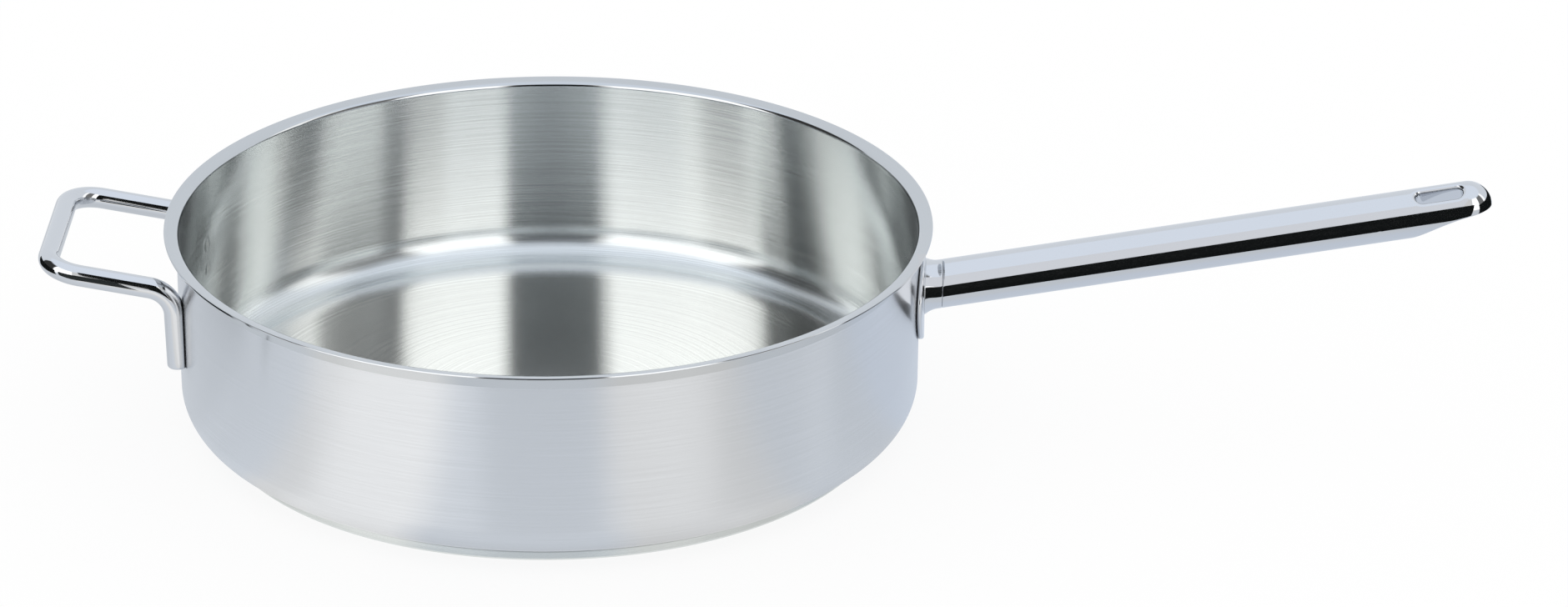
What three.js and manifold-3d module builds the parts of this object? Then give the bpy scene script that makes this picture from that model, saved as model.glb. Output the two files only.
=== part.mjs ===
// Deep frying pan in stainless steel: a drawn bowl with a flared pouring lip, a sealed sandwich base,
// a long tubular handle on an oval flange, and a bent-rod helper handle on the opposite side.
// Millimetres and degrees, +Z up. The origin is the centre of the face that the pan stands on,
// and +X points along the long handle.
import * as THREE from "three";
import { mergeVertices } from "three/addons/utils/BufferGeometryUtils.js";
import Module from "manifold-3d";

const wasm = await Module();
wasm.setup();

// Bowl: one sheet, drawn to a flat floor, a rounded corner, an upright wall and a flared lip.
const BOWL_INNER_DIAMETER = 280;
const BOWL_HEIGHT = 81; // from the standing face to the top of the lip
const BOWL_SHEET = 1;
const BOWL_CORNER_RADIUS = 12; // inside, between floor and wall
const LIP_OVERHANG = 4.6; // how far the lip stands out past the wall's outer face
const LIP_RISE = 12; // degrees that the lip climbs outwards
const LIP_BEND_RADIUS = 0.7; // under the lip, where it leaves the wall

// Base: an aluminium core brazed between the bowl's floor and a magnetic steel capsule.
const CAPSULE_SHEET = 1.4;
const CAPSULE_EDGE_RADIUS = 1.2; // lower outer edge
const CAPSULE_OVERHANG = 0.3; // how far the capsule reaches past the flat of the bowl's underside
const CORE_THICKNESS = 3.4;
const BRAZE_THICKNESS = 0.25;

// Long handle: an oval flange on the wall, a flared neck, a tube and a solid end with a hanging eye.
const HANDLE_TILT = 10; // degrees above the horizontal
const HANDLE_DROP = 26.9; // from the top of the lip to the axis, at the wall's outer face
const HANDLE_LENGTH = 219.2; // along the axis, from the wall to the tip
const FLANGE_WIDTH = 42; // measured round the wall
const FLANGE_HEIGHT = 36;
const FLANGE_THICKNESS = 1.8;
const FLANGE_EDGE = 0.7; // chamfer round the outer edge
const FLANGE_DROP = 1.5; // its centre sits this far below the axis
const NECK_LENGTH = 8.4; // from the wall to the upright seam with the tube
const NECK_FLARE = 1.4; // how much wider the neck is at the flange than at the tube
const TUBE_DIAMETER = 18.4;
const TUBE_WALL = 1.2;
const SPIGOT_LENGTH = 15; // neck and tip both plug into the tube
const TIP_LENGTH = 46; // solid end, past the tube
const EYE_LENGTH = 17.8;
const EYE_WIDTH = 5.4;
const EYE_INSET = 10.7; // metal left between the eye and the tip
const EYE_LEAN = 25; // degrees that the eye's axis leans to the side, off the handle's upright plane
const SCOOP_LENGTH = 32; // the tip's underside is scooped away over this length
const SCOOP_EASE = 17; // how far from the tip the scoop's steep start turns level
const NOSE_DROP = 0.3; // the scooped underside ends this far below the axis

// Helper handle: a round rod bent into a loop, with both legs flattened where they meet the wall.
const ROD_DIAMETER = 8;
const HELPER_SPAN = 74.2; // between the centres of the two arms
const HELPER_REACH = 46; // from the wall's outer face to the centre of the grip
const HELPER_DROP = 15.8; // from the top of the lip to the arm's centre, at the wall
const HELPER_TILT = 10; // degrees above the horizontal
const HELPER_CORNER_RADIUS = 13;
const LEG_BEND_RADIUS = 11;
const LEG_LENGTH = 29.5; // from where the arm's line meets the leg's down to the leg's end
const LEG_FLAT = 1.2; // depth that the leg's wall side is flattened by, at its top
const LEG_TAPER = 0.7; // how much deeper that flat is at the leg's foot
const LEG_FOOT_DOME = 0.4; // how full the rounding of a leg's foot is, from flat to half a ball

// Seats: pieces that touch are drawn this far apart.
const SEAT_GAP = 0.3;
const OVERCUT = 1; // cutters reach this far past what they cut
const TURN = 2 * Math.PI;

// Facets.
const BOWL_SEGMENTS = 96;
const CORNER_STEPS = 8;
const BEND_STEPS = 4;
const TUBE_SEGMENTS = 40;
const ROD_SIDES = 8;
const ROD_STEPS = 90;
const FLANGE_SEGMENTS = 48;
const CUTTER_STEPS = 10;
const WELD_DISTANCE = 1e-4; // corners closer than this are one

const rad = THREE.MathUtils.degToRad;
const bowlInnerRadius = BOWL_INNER_DIAMETER / 2;
const wallRadius = bowlInnerRadius + BOWL_SHEET;
const floorRadius = bowlInnerRadius - BOWL_CORNER_RADIUS;
const coreBottom = CAPSULE_SHEET + BRAZE_THICKNESS;
const coreTop = coreBottom + CORE_THICKNESS;
const floorUnderside = coreTop + BRAZE_THICKNESS;
const floorTop = floorUnderside + BOWL_SHEET;
const capsuleRadius = floorRadius + CAPSULE_OVERHANG;
const coreRadius = capsuleRadius - CAPSULE_SHEET - SEAT_GAP;
const tubeRadius = TUBE_DIAMETER / 2;
const rodRadius = ROD_DIAMETER / 2;

const steel = { metalness: 1, color: 0xc4c7c9 };
const brushedSteel = new THREE.MeshStandardMaterial({ ...steel, roughness: 0.3 });
const polishedSteel = new THREE.MeshStandardMaterial({ ...steel, roughness: 0.08 });
const capsuleSteel = new THREE.MeshStandardMaterial({ color: 0xb4b7b8, roughness: 0.28, metalness: 1 });
const aluminium = new THREE.MeshStandardMaterial({ color: 0xd0d2d4, roughness: 0.4, metalness: 1 });
const brazeAlloy = new THREE.MeshStandardMaterial({ color: 0xa9abad, roughness: 0.5, metalness: 1 });

const part = new THREE.Group();

// A closed geometry as a solid that can be cut and joined.
function solid(geometry) {
  const bare = new THREE.BufferGeometry();
  bare.setAttribute("position", geometry.getAttribute("position").clone());
  if (geometry.index) bare.setIndex(geometry.index.clone());
  const welded = mergeVertices(bare, WELD_DISTANCE);
  const corners = welded.index.array;
  const kept = [];
  for (let i = 0; i < corners.length; i += 3) {
    const [a, b, c] = corners.slice(i, i + 3);
    if (a !== b && b !== c && c !== a) kept.push(a, b, c);
  }
  return new wasm.Manifold(
    new wasm.Mesh({
      numProp: 3,
      vertProperties: new Float32Array(welded.getAttribute("position").array),
      triVerts: new Uint32Array(kept),
    }),
  );
}

// A solid back as a geometry with flat faces.
function geometryOf(made) {
  const { vertProperties, triVerts } = made.getMesh();
  const geometry = new THREE.BufferGeometry();
  geometry.setAttribute("position", new THREE.BufferAttribute(vertProperties, 3));
  geometry.setIndex(new THREE.BufferAttribute(triVerts, 1));
  const flat = geometry.toNonIndexed();
  flat.computeVertexNormals();
  return flat;
}

function addPiece(group, name, made, material) {
  const mesh = new THREE.Mesh(geometryOf(made), material);
  mesh.name = name;
  group.add(mesh);
}

// Points on an arc, in degrees anticlockwise from the first axis.
function arc(x, y, radius, from, to, steps) {
  return Array.from({ length: steps + 1 }, (_, i) => {
    const angle = rad(from + ((to - from) * i) / steps);
    return new THREE.Vector2(x + radius * Math.cos(angle), y + radius * Math.sin(angle));
  });
}

// A profile of (radius, height) points turned about +Z.
function turned(profile, segments) {
  return new THREE.LatheGeometry(profile, segments).rotateX(Math.PI / 2);
}

// A profile of (radius, distance) points turned about +X.
function turnedAlongX(profile, segments) {
  return new THREE.LatheGeometry(profile, segments).rotateZ(-Math.PI / 2);
}

// An upright cylinder that holds everything inside a radius.
function wallCutter(radius) {
  const cylinder = new THREE.CylinderGeometry(radius, radius, 2 * BOWL_HEIGHT, BOWL_SEGMENTS);
  return cylinder.rotateX(Math.PI / 2).translate(0, 0, BOWL_HEIGHT / 2);
}

// The bowl's section runs from its underside out, up the wall, round the lip and back down inside.
function bowlProfile() {
  const lip = rad(LIP_RISE);
  const bendX = wallRadius + LIP_BEND_RADIUS;
  const edgeRadius = BOWL_SHEET / 2;
  const edgeX = wallRadius + LIP_OVERHANG - edgeRadius;
  const edgeY = BOWL_HEIGHT - edgeRadius;
  const middleRadius = LIP_BEND_RADIUS + edgeRadius; // of the sheet's middle line in the bend
  const bendY = edgeY - (edgeX - bendX + middleRadius * Math.sin(lip)) * Math.tan(lip)
    - middleRadius * Math.cos(lip);
  const cornerY = floorTop + BOWL_CORNER_RADIUS;
  const lipNormal = 90 + LIP_RISE;
  return [
    new THREE.Vector2(0, floorUnderside),
    ...arc(floorRadius, cornerY, BOWL_CORNER_RADIUS + BOWL_SHEET, -90, 0, CORNER_STEPS),
    ...arc(bendX, bendY, LIP_BEND_RADIUS, 180, lipNormal, BEND_STEPS),
    ...arc(edgeX, edgeY, edgeRadius, lipNormal - 180, lipNormal, BEND_STEPS),
    ...arc(bendX, bendY, LIP_BEND_RADIUS + BOWL_SHEET, lipNormal, 180, BEND_STEPS),
    ...arc(floorRadius, cornerY, BOWL_CORNER_RADIUS, 0, -90, CORNER_STEPS),
    new THREE.Vector2(0, floorTop),
  ];
}

function addBowl() {
  addPiece(part, "pan_bowl", solid(turned(bowlProfile(), BOWL_SEGMENTS)), brushedSteel);
}

// A flat round layer of the base.
function layerProfile(radius, bottom, thickness) {
  return [
    new THREE.Vector2(0, bottom),
    new THREE.Vector2(radius, bottom),
    new THREE.Vector2(radius, bottom + thickness),
    new THREE.Vector2(0, bottom + thickness),
  ];
}

// The capsule is a shallow cup whose edge closes up to the bowl's rounded underside.
function capsuleProfile() {
  const edge = CAPSULE_EDGE_RADIUS;
  const brim = floorUnderside - SEAT_GAP;
  return [
    new THREE.Vector2(0, 0),
    ...arc(capsuleRadius - edge, edge, edge, -90, 0, BEND_STEPS),
    new THREE.Vector2(capsuleRadius, brim),
    new THREE.Vector2(capsuleRadius - CAPSULE_SHEET, brim),
    new THREE.Vector2(capsuleRadius - CAPSULE_SHEET, CAPSULE_SHEET),
    new THREE.Vector2(0, CAPSULE_SHEET),
  ];
}

function addBase() {
  const layer = (name, bottom, thickness, material) => {
    const disc = turned(layerProfile(coreRadius, bottom, thickness), BOWL_SEGMENTS);
    addPiece(part, name, solid(disc), material);
  };
  addPiece(part, "base_capsule", solid(turned(capsuleProfile(), BOWL_SEGMENTS)), capsuleSteel);
  layer("base_lower_braze", CAPSULE_SHEET, BRAZE_THICKNESS, brazeAlloy);
  layer("base_core", coreBottom, CORE_THICKNESS, aluminium);
  layer("base_upper_braze", coreTop, BRAZE_THICKNESS, brazeAlloy);
}

// The handle's own frame: its axis is +X, and it starts on the wall's outer face.
const handle = new THREE.Group();
handle.position.set(wallRadius, 0, BOWL_HEIGHT - HANDLE_DROP);
handle.rotation.y = -rad(HANDLE_TILT);
handle.updateMatrixWorld();
part.add(handle);

function inHandleFrame(geometry) {
  return geometry.applyMatrix4(handle.matrixWorld.clone().invert());
}

// The flange is an oval cut from a sheet that is rolled to the wall's radius.
function addFlange() {
  const inner = wallRadius + SEAT_GAP;
  const outer = inner + FLANGE_THICKNESS;
  const centre = BOWL_HEIGHT - HANDLE_DROP - FLANGE_DROP;
  const level = (radius, shrink) => ({ radius, shrink });
  const levels = [level(inner, 0), level(outer - FLANGE_EDGE, 0), level(outer, FLANGE_EDGE)];
  const rings = levels.map(({ radius, shrink }) =>
    Array.from({ length: FLANGE_SEGMENTS }, (_, i) => {
      const angle = (TURN * i) / FLANGE_SEGMENTS;
      const round = ((FLANGE_WIDTH / 2 - shrink) * Math.cos(angle)) / inner;
      const rise = (FLANGE_HEIGHT / 2 - shrink) * Math.sin(angle);
      return [radius * Math.cos(round), radius * Math.sin(round), centre + rise];
    }),
  );
  addPiece(part, "handle_flange", solid(loft(rings)), polishedSteel);
}

// Rings of points joined in order, with each end closed by rows of faces straight across it.
// The rings run anticlockwise as seen from the last one.
function loft(rings) {
  const count = rings[0].length;
  const triangles = [];
  const quad = (a, b, c, d) => triangles.push(a, b, c, a, c, d);
  const across = (base, flip) => {
    for (let i = 0; i < count / 2; i += 1) {
      const near = [base + i, base + i + 1];
      const far = [base + ((count - i) % count), base + count - i - 1];
      if (flip) quad(near[0], far[0], far[1], near[1]);
      else quad(near[0], near[1], far[1], far[0]);
    }
  };
  rings.slice(1).forEach((_, level) => {
    for (let i = 0; i < count; i += 1) {
      const a = level * count + i;
      const b = level * count + ((i + 1) % count);
      quad(a, b, b + count, a + count);
    }
  });
  across(0, true);
  across((rings.length - 1) * count, false);
  const geometry = new THREE.BufferGeometry();
  geometry.setAttribute("position", new THREE.Float32BufferAttribute(rings.flat(2), 3));
  geometry.setIndex(triangles);
  return geometry;
}

// The tube's seam with the neck stands upright, so along the leaning axis it reaches this far to each side.
const seamReach = tubeRadius * Math.tan(rad(HANDLE_TILT));

// Everything on one side of an upright plane across the handle, as a cutter in the handle's frame.
function uprightCutter(plane, side) {
  const size = 2 * HANDLE_LENGTH;
  const block = new THREE.BoxGeometry(size, size, size).translate(plane + (side * size) / 2, 0, BOWL_HEIGHT);
  return inHandleFrame(block);
}

// The neck flares towards the flange, is cut to the flange's curve and plugs into the tube.
function addNeck() {
  const spigotRadius = tubeRadius - TUBE_WALL - SEAT_GAP;
  const spigotEnd = NECK_LENGTH + SPIGOT_LENGTH;
  const flareStart = -FLANGE_THICKNESS - tubeRadius;
  const flareRadius = tubeRadius + NECK_FLARE;
  const flare = new THREE.QuadraticBezierCurve(
    new THREE.Vector2(tubeRadius, NECK_LENGTH),
    new THREE.Vector2(tubeRadius, (NECK_LENGTH + FLANGE_THICKNESS) / 2),
    new THREE.Vector2(flareRadius, FLANGE_THICKNESS),
  );
  const profile = [
    new THREE.Vector2(0, flareStart),
    new THREE.Vector2(flareRadius, flareStart),
    ...flare.getPoints(CORNER_STEPS).reverse(),
    new THREE.Vector2(tubeRadius, NECK_LENGTH + 2 * seamReach),
    new THREE.Vector2(0, NECK_LENGTH + 2 * seamReach),
  ];
  const spigotProfile = [
    new THREE.Vector2(0, NECK_LENGTH - 2 * seamReach),
    new THREE.Vector2(spigotRadius, NECK_LENGTH - 2 * seamReach),
    new THREE.Vector2(spigotRadius, spigotEnd),
    new THREE.Vector2(0, spigotEnd),
  ];
  const flangeFace = wallRadius + FLANGE_THICKNESS + 2 * SEAT_GAP;
  const cutter = solid(inHandleFrame(wallCutter(flangeFace)));
  const pastSeam = solid(uprightCutter(wallRadius + NECK_LENGTH, 1));
  const collar = solid(turnedAlongX(profile, TUBE_SEGMENTS)).subtract(cutter).subtract(pastSeam);
  const neck = collar.add(solid(turnedAlongX(spigotProfile, TUBE_SEGMENTS)));
  addPiece(handle, "handle_neck", neck, polishedSteel);
}

const tubeStart = NECK_LENGTH - 2 * seamReach;
const tubeEnd = HANDLE_LENGTH - TIP_LENGTH - SEAT_GAP;

function addTube() {
  const bore = tubeRadius - TUBE_WALL;
  const profile = [
    new THREE.Vector2(bore, tubeStart),
    new THREE.Vector2(tubeRadius, tubeStart),
    new THREE.Vector2(tubeRadius, tubeEnd),
    new THREE.Vector2(bore, tubeEnd),
    new THREE.Vector2(bore, tubeStart),
  ];
  const beforeSeam = solid(uprightCutter(wallRadius + NECK_LENGTH + SEAT_GAP, -1));
  const tube = solid(turnedAlongX(profile, TUBE_SEGMENTS)).subtract(beforeSeam);
  addPiece(handle, "handle_tube", tube, polishedSteel);
}

// The slot that the pan hangs by, as a cutter through the tip, leaning about the handle's axis.
function eyeCutter() {
  const half = EYE_WIDTH / 2;
  const outer = HANDLE_LENGTH - EYE_INSET - half;
  const inner = HANDLE_LENGTH - EYE_INSET - EYE_LENGTH + half;
  const slot = new THREE.Shape();
  slot.absarc(outer, 0, half, -Math.PI / 2, Math.PI / 2, false);
  slot.absarc(inner, 0, half, Math.PI / 2, (3 * Math.PI) / 2, false);
  const depth = TUBE_DIAMETER + 2 * OVERCUT;
  const options = { depth, bevelEnabled: false, curveSegments: CUTTER_STEPS };
  return new THREE.ExtrudeGeometry(slot, options).translate(0, 0, -depth / 2).rotateX(rad(EYE_LEAN));
}

// What is cut away under the tip: a scoop that starts steep at the tube's underside and ends level.
function scoopCutter() {
  const bottom = -tubeRadius;
  const below = bottom - OVERCUT;
  const past = HANDLE_LENGTH + OVERCUT;
  const outline = new THREE.Shape();
  outline.moveTo(HANDLE_LENGTH - SCOOP_LENGTH, below);
  outline.lineTo(past, below);
  outline.lineTo(past, -NOSE_DROP);
  outline.lineTo(HANDLE_LENGTH, -NOSE_DROP);
  outline.quadraticCurveTo(HANDLE_LENGTH - SCOOP_EASE, -NOSE_DROP, HANDLE_LENGTH - SCOOP_LENGTH, bottom);
  const depth = TUBE_DIAMETER + 2 * OVERCUT;
  const options = { depth, bevelEnabled: false, curveSegments: CUTTER_STEPS };
  return new THREE.ExtrudeGeometry(outline, options).rotateX(Math.PI / 2).translate(0, depth / 2, 0);
}

function addTip() {
  const spigotRadius = tubeRadius - TUBE_WALL - SEAT_GAP;
  const shoulder = HANDLE_LENGTH - TIP_LENGTH;
  const nose = HANDLE_LENGTH - tubeRadius;
  const profile = [
    new THREE.Vector2(0, shoulder - SPIGOT_LENGTH),
    new THREE.Vector2(spigotRadius, shoulder - SPIGOT_LENGTH),
    new THREE.Vector2(spigotRadius, shoulder),
    new THREE.Vector2(tubeRadius, shoulder),
    ...arc(0, nose, tubeRadius, 0, 90, CORNER_STEPS),
  ];
  profile[profile.length - 1].x = 0;
  const tip = solid(turnedAlongX(profile, TUBE_SEGMENTS));
  const shaped = tip.subtract(solid(scoopCutter())).subtract(solid(eyeCutter()));
  addPiece(handle, "handle_tip", shaped, polishedSteel);
}

// Corners of the rod's middle line, from the foot of one leg round to the foot of the other.
function helperCorners() {
  const side = HELPER_SPAN / 2;
  const legCentre = wallRadius + SEAT_GAP + rodRadius - LEG_FLAT;
  const legX = -Math.sqrt(legCentre ** 2 - side ** 2);
  const gripX = -wallRadius - HELPER_REACH;
  const armHeight = (x) =>
    BOWL_HEIGHT - HELPER_DROP + Math.tan(rad(HELPER_TILT)) * (-wallRadius - x);
  const half = [
    new THREE.Vector3(legX + LEG_TAPER, side, armHeight(legX) - LEG_LENGTH),
    new THREE.Vector3(legX, side, armHeight(legX)),
    new THREE.Vector3(gripX, side, armHeight(gripX)),
  ];
  const mirrored = half.map((p) => new THREE.Vector3(p.x, -p.y, p.z)).reverse();
  return [...half, ...mirrored];
}

// An arc in space that rounds one corner of a line of straight runs.
class CornerArc extends THREE.Curve {
  constructor(before, corner, after, radius) {
    super();
    this.inward = corner.clone().sub(before).normalize();
    this.outward = after.clone().sub(corner).normalize();
    this.sweep = this.inward.angleTo(this.outward);
    const reach = radius * Math.tan(this.sweep / 2);
    this.radius = radius;
    this.start = corner.clone().addScaledVector(this.inward, -reach);
    this.end = corner.clone().addScaledVector(this.outward, reach);
    const turn = this.outward.clone().addScaledVector(this.inward, -Math.cos(this.sweep));
    this.towardsCentre = turn.normalize();
  }

  getPoint(t, target = new THREE.Vector3()) {
    const angle = this.sweep * t;
    target.copy(this.start);
    target.addScaledVector(this.inward, this.radius * Math.sin(angle));
    return target.addScaledVector(this.towardsCentre, this.radius * (1 - Math.cos(angle)));
  }
}

function helperPath() {
  const corners = helperCorners();
  const radii = [LEG_BEND_RADIUS, HELPER_CORNER_RADIUS, HELPER_CORNER_RADIUS, LEG_BEND_RADIUS];
  const path = new THREE.CurvePath();
  let from = corners[0];
  radii.forEach((radius, i) => {
    const bend = new CornerArc(corners[i], corners[i + 1], corners[i + 2], radius);
    path.add(new THREE.LineCurve3(from, bend.start));
    path.add(bend);
    from = bend.end;
  });
  path.add(new THREE.LineCurve3(from, corners[corners.length - 1]));
  return path;
}

// A flattened dome that rounds off the foot of a leg.
function legFoot(point) {
  const dome = new THREE.SphereGeometry(rodRadius, 2 * ROD_SIDES, ROD_SIDES);
  return dome.rotateX(Math.PI / 2).scale(1, 1, LEG_FOOT_DOME).translate(point.x, point.y, point.z);
}

function addHelper() {
  const section = new THREE.Shape();
  section.absarc(0, 0, rodRadius, 0, TURN, false);
  const rod = new THREE.ExtrudeGeometry(section, {
    steps: ROD_STEPS,
    extrudePath: helperPath(),
    curveSegments: ROD_SIDES,
    bevelEnabled: false,
  });
  const corners = helperCorners();
  const wall = solid(wallCutter(wallRadius + SEAT_GAP));
  const loop = solid(rod)
    .add(solid(legFoot(corners[0])))
    .add(solid(legFoot(corners[corners.length - 1])))
    .subtract(wall);
  addPiece(part, "helper_handle", loop, polishedSteel);
}

addBowl();
addBase();
addFlange();
addNeck();
addTube();
addTip();
addHelper();

export default part;
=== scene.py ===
import bmesh
import bpy
import numpy as np
from mathutils import Matrix


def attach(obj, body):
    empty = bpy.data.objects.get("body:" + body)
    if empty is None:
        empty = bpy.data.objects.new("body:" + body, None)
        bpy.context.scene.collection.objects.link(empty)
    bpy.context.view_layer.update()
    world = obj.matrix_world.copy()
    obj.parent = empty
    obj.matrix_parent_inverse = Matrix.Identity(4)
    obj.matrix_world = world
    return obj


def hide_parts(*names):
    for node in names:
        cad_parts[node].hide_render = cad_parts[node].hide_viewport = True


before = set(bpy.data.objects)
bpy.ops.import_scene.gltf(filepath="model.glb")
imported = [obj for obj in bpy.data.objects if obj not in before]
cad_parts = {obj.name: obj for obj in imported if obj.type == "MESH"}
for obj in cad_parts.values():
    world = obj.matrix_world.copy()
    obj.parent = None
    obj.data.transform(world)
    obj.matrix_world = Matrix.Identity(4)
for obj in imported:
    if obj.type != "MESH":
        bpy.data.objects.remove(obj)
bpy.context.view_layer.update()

# Bowl. One sheet of stainless steel, drawn to a flat floor, a rounded corner and an upright wall, and flared
# at the top into a pouring lip. The inside is brushed round and round, the outside is satin and the lip
# polished.
MM = 0.001
BOWL_RADIUS = 140.0  # inside
BOWL_HEIGHT = 81.0
BOWL_SHEET = 1.0
BOWL_CORNER = 12.0  # inside, between floor and wall
BOWL_FLOOR = 6.3  # height of the cooking surface
LIP_OVERHANG = 4.6
LIP_RISE = 12.0  # degrees
LIP_BEND = 0.7
LIP_CUT = 0.22  # rounding of the edge, which is cut square
LIP_CUT_REACH = 0.2  # of that rounding, past the middle of the lip's end
WALL_RADIUS = BOWL_RADIUS + BOWL_SHEET
BOWL_COLUMNS = 360
WELD_HEIGHTS = (41.7, 51.7)  # spot welds of the helper's legs, seen from inside as shallow marks
WELD_SIDE = 37.1  # sideways from the plane through both handles
WELD_RADIUS = 1.6
WELD_DEPTH = 0.14
WELD_RING = 1.5  # where the raised ring round a mark lies, in weld radii
WELD_RING_WIDTH = 0.35  # in weld radii
WELD_RING_RISE = 0.6  # as a share of the depth
WELD_SPREAD = 2.2  # degrees to both sides of a mark where the columns stand closer
WELD_COLUMNS = 37


def arc(centre, radius, start, stop, steps):
    """Points of a circle's arc: centre + radius * (cos a, sin a), with a in degrees from start to stop."""
    angle = np.radians(np.linspace(start, stop, steps + 1))
    return np.stack([centre[0] + radius * np.cos(angle), centre[1] + radius * np.sin(angle)], axis=1)


def run(first, last, steps):
    """Points spaced evenly on the straight line between two points, both ends left out."""
    share = np.linspace(0, 1, steps + 2)[1:-1, None]
    return np.asarray(first) * (1 - share) + np.asarray(last) * share


def bowl_section():
    """The sheet's outline as (radius, height), from the middle of its underside round to the floor's middle.

    The corners are two arcs about one centre. The lip leaves the wall in two arcs about another centre,
    climbs straight outwards and ends in a square cut. Returns the stretches apart, so that each can have its
    finish.
    """
    lip = np.radians(LIP_RISE)
    half = BOWL_SHEET / 2
    corner = (BOWL_RADIUS - BOWL_CORNER, BOWL_FLOOR + BOWL_CORNER)
    edge = (WALL_RADIUS + LIP_OVERHANG - half, BOWL_HEIGHT - half)
    bend_x = WALL_RADIUS + LIP_BEND
    middle = LIP_BEND + half
    bend_y = edge[1] - (edge[0] - bend_x + middle * np.sin(lip)) * np.tan(lip) - middle * np.cos(lip)
    bend = (bend_x, bend_y)
    normal = 90 + LIP_RISE
    cut = np.array(edge) + LIP_CUT_REACH * np.array([np.cos(lip), np.sin(lip)])
    across = (half - LIP_CUT) * np.array([-np.sin(lip), np.cos(lip)])
    under = (0.0, BOWL_FLOOR - BOWL_SHEET)
    outside = np.concatenate([
        [under],
        run(under, (corner[0], under[1]), steps=6),
        arc(corner, BOWL_CORNER + BOWL_SHEET, -90, 0, steps=24),
        run((WALL_RADIUS, corner[1]), (WALL_RADIUS, bend_y), steps=16),
    ])
    lip_points = np.concatenate([
        arc(bend, LIP_BEND, 180, normal, steps=8),
        arc(cut - across, LIP_CUT, normal - 180, normal - 90, steps=5),
        arc(cut + across, LIP_CUT, normal - 90, normal, steps=5),
        arc(bend, LIP_BEND + BOWL_SHEET, normal, 180, steps=10),
    ])
    inner_wall = np.concatenate([
        run((BOWL_RADIUS, bend_y), (BOWL_RADIUS, corner[1]), steps=90),
        arc(corner, BOWL_CORNER, 0, -90, steps=28),
    ])
    inner_floor = np.concatenate([
        run((corner[0], BOWL_FLOOR), (0.0, BOWL_FLOOR), steps=20),
        [(0.0, BOWL_FLOOR)],
    ])
    return outside, lip_points, inner_wall, inner_floor


def turned(section, angles):
    """A section of (radius, height) carried round +Z: (r cos a, r sin a, h) for each angle a."""
    radius, height = section[:, 0, None], section[:, 1, None]
    heights = np.broadcast_to(height, (len(section), len(angles)))
    return np.stack([radius * np.cos(angles), radius * np.sin(angles), heights], axis=2)


def length_along(points):
    """How far each row of a grid lies along its first column, summed from point to point."""
    steps = np.linalg.norm(np.diff(points[:, 0], axis=0), axis=1)
    return np.concatenate([[0.0], np.cumsum(steps)])


MERGE = 1e-6  # metres between corners that count as one


def grid_piece(name, points, around, along, materials, row_material=None):
    """A closed piece from a grid of points in millimetres: four neighbours make a face, and columns close up.

    UV is (around, along) in metres, with one more column than the grid, so that a pattern runs on over the
    seam. Corners that fall on one another, as at a pole, are merged.
    """
    rows, columns = points.shape[:2]
    index = np.arange(rows * columns).reshape(rows, columns)
    following = np.roll(index, -1, axis=1)
    faces = np.stack([index[:-1], following[:-1], following[1:], index[1:]], axis=2).reshape(-1, 4)
    mesh = bpy.data.meshes.new(name)
    mesh.from_pydata(points.reshape(-1, 3) * MM, [], faces.tolist())
    u = np.broadcast_to(around, (rows, columns + 1))
    v = np.broadcast_to(np.asarray(along)[:, None], (rows, columns + 1))
    uv = np.stack([u, v], axis=2) * MM
    corners = np.stack([uv[:-1, :-1], uv[:-1, 1:], uv[1:, 1:], uv[1:, :-1]], axis=2)
    layer = mesh.uv_layers.new(name="UVMap")
    layer.data.foreach_set("uv", corners.reshape(-1).astype(np.float32))
    for material in materials:
        mesh.materials.append(material)
    if row_material is not None:
        mesh.polygons.foreach_set("material_index", np.repeat(row_material, columns).astype(np.int32))
    mesh.polygons.foreach_set("use_smooth", np.ones(len(faces), dtype=bool))
    work = bmesh.new()
    work.from_mesh(mesh)
    bmesh.ops.remove_doubles(work, verts=work.verts, dist=MERGE)
    work.to_mesh(mesh)
    work.free()
    piece = bpy.data.objects.new(name, mesh)
    bpy.context.collection.objects.link(piece)
    return piece


def new_material(name, colour, roughness):
    """A metal with its colour and roughness set on the shader's own sockets."""
    material = bpy.data.materials.new(name)
    material.use_nodes = True
    shader = material.node_tree.nodes["Principled BSDF"]
    shader.inputs["Base Color"].default_value = (*colour, 1)
    shader.inputs["Metallic"].default_value = 1
    shader.inputs["Roughness"].default_value = roughness
    return material, material.node_tree, shader


NOISE_LOW = 0.25  # the range that noise mostly keeps to
NOISE_HIGH = 0.75
QUARTER_TURN = 0.25


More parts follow.
